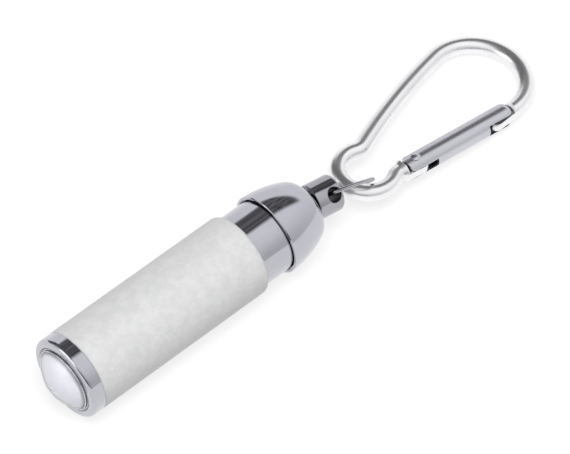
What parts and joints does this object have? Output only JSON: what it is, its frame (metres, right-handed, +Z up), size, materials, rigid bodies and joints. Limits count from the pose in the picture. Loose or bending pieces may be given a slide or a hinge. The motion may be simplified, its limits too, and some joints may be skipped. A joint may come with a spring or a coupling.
{
  "type": "keychain flashlight",
  "caption": "Pocket torch with a sliding zoom head, domed twist cap, turning key lug, small jump ring and pear-shaped snap hook with a sprung tubular gate.",
  "frame": {"origin": "on the torch's axis inside the grip sleeve, 22 mm behind the bezel joint", "axes": "+X along the torch from the lens to the key lug, +Z up, +Y to the left when looking along +X"},
  "size_m": [0.1456, 0.0285, 0.02],
  "materials": {
    "white_sleeve": "satin",
    "bright_plate": "polished",
    "dark_ring": "machined",
    "lens_plastic": "clear, slightly milky",
    "black_rubber": "matt",
    "holder_plastic": "matt",
    "board_white": "satin",
    "led_phosphor": "gloss",
    "part_black": "matt",
    "brass": "satin",
    "cell_wrap": "printed wrap, plain",
    "liner_plastic": "matt",
    "spring_steel": "drawn wire",
    "ring_steel": "polished",
    "hook_plate": "polished",
    "gate_plate": "satin metallic"
  },
  "bodies": {
    "barrel": {"barrel_tube": "bright_plate", "zoom_o_ring": "black_rubber", "neck_o_ring": "black_rubber", "led_holder": "holder_plastic", "led_board": "board_white", "led_emitter": "led_phosphor", "driver_choke": "part_black", "driver_chip": "part_black", "positive_contact": "brass", "battery_liner": "liner_plastic", "battery_cell": "cell_wrap"},
    "head": {"grip_sleeve": "white_sleeve", "bezel_ring": "bright_plate", "lens": "lens_plastic", "lens_ring": "dark_ring", "lens_gasket": "black_rubber"},
    "cap": {"dome_cap": "bright_plate", "contact_plate": "brass", "battery_spring": "spring_steel"},
    "swivel": {"swivel_washer": "brass"},
    "lug": {"lug_stud": "bright_plate"},
    "ring": {"jump_ring": "ring_steel"},
    "hook": {"hook_body": "hook_plate", "gate_rivet": "gate_plate"},
    "gate": {"gate_tube": "gate_plate", "gate_plunger": "brass", "gate_spring": "spring_steel"}
  },
  "joints": [
    {"name": "head_zoom", "type": "slide", "parent": "barrel", "child": "head", "axis": [1, 0, 0], "range_m": [-0.0002, 0.0075]},
    {"name": "cap_twist", "type": "hinge", "parent": "barrel", "child": "cap", "pos_m": [0.04, 0, 0], "axis": [1, 0, 0], "range_deg": [0, 90]},
    {"name": "lug_swivel", "type": "hinge", "parent": "cap", "child": "swivel", "pos_m": [0.044, 0, 0], "axis": [1, 0, 0], "continuous": true},
    {"name": "lug_tilt", "type": "hinge", "parent": "swivel", "child": "lug", "pos_m": [0.04695, 0, 0], "axis": [0, -0.6972, 0.7169], "range_deg": [-0.8, 16.2]},
    {"name": "ring_swing", "type": "hinge", "parent": "lug", "child": "ring", "pos_m": [0.05141, -0.00043, -0.00042], "axis": [0, -0.6972, 0.7169], "range_deg": [-60, 60]},
    {"name": "hook_swing", "type": "hinge", "parent": "ring", "child": "hook", "pos_m": [0.05829, -0.00085, -0.00309], "axis": [0.1971, -0.9804, -0.007], "range_deg": [-50, 4]},
    {"name": "gate_open", "type": "hinge", "parent": "hook", "child": "gate", "pos_m": [0.07439, -0.0051, -0.00439], "axis": [0.0866, 0.0099, 0.9962], "range_deg": [0, 28], "stiffness_Nm_per_rad": 0.06, "springref_deg": -20.05}
  ]
}
